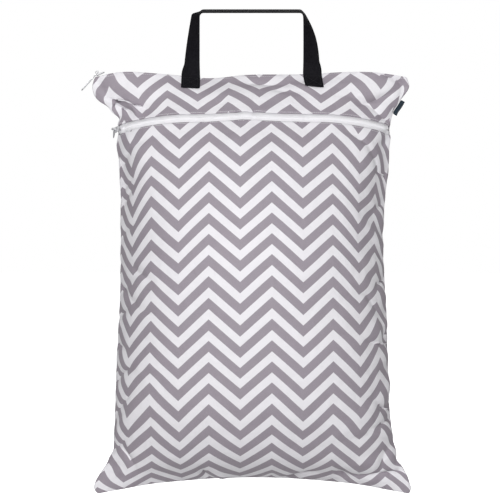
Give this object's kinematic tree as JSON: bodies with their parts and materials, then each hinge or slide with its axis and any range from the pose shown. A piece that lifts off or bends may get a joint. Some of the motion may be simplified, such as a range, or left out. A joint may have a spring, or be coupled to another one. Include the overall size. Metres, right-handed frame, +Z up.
{
  "type": "cloth diaper wet bag",
  "caption": "Large hanging zip bag of printed waterproof cloth with a front zip pocket, a top zip, a webbing handle and a small side tag.",
  "frame": {"origin": "under the middle of the handle's top bar, where the bag hangs", "axes": "+Z up, along the bag's height; the front with the zip pocket faces -Y; +X to the right as seen from the front"},
  "size_m": [0.4357, 0.2043, 0.6414],
  "materials": {
    "printed_cloth": "matt",
    "zip_tape": "matt",
    "zip_coil": "satin",
    "zip_metal": "satin",
    "webbing": "matt",
    "label": "matt"
  },
  "bodies": {
    "bag": {"back_panel": "printed_cloth", "front_pocket_panel": "printed_cloth", "front_upper_panel": "printed_cloth", "front_zip_tape_upper": "zip_tape", "front_zip_tape_lower": "zip_tape", "front_zip_teeth": "zip_coil", "front_zip_slider": "zip_metal", "top_zip_tape_front": "zip_tape", "top_zip_tape_back": "zip_tape", "top_zip_teeth": "zip_coil", "top_zip_slider": "zip_metal", "handle": "webbing", "side_label": "label"},
    "top_pull": {"top_zip_pull": "zip_metal"},
    "front_pull": {"front_zip_pull": "zip_metal"}
  },
  "joints": [
    {"name": "top_pull_hinge", "type": "hinge", "parent": "bag", "child": "top_pull", "pos_m": [-0.20564, 0, -0.08066], "axis": [0, 1, 0], "range_deg": [0, 200]},
    {"name": "front_pull_hinge", "type": "hinge", "parent": "bag", "child": "front_pull", "pos_m": [-0.18345, -0.00252, -0.15522], "axis": [0.2044, 0.2508, 0.9462], "range_deg": [0, 195]}
  ]
}
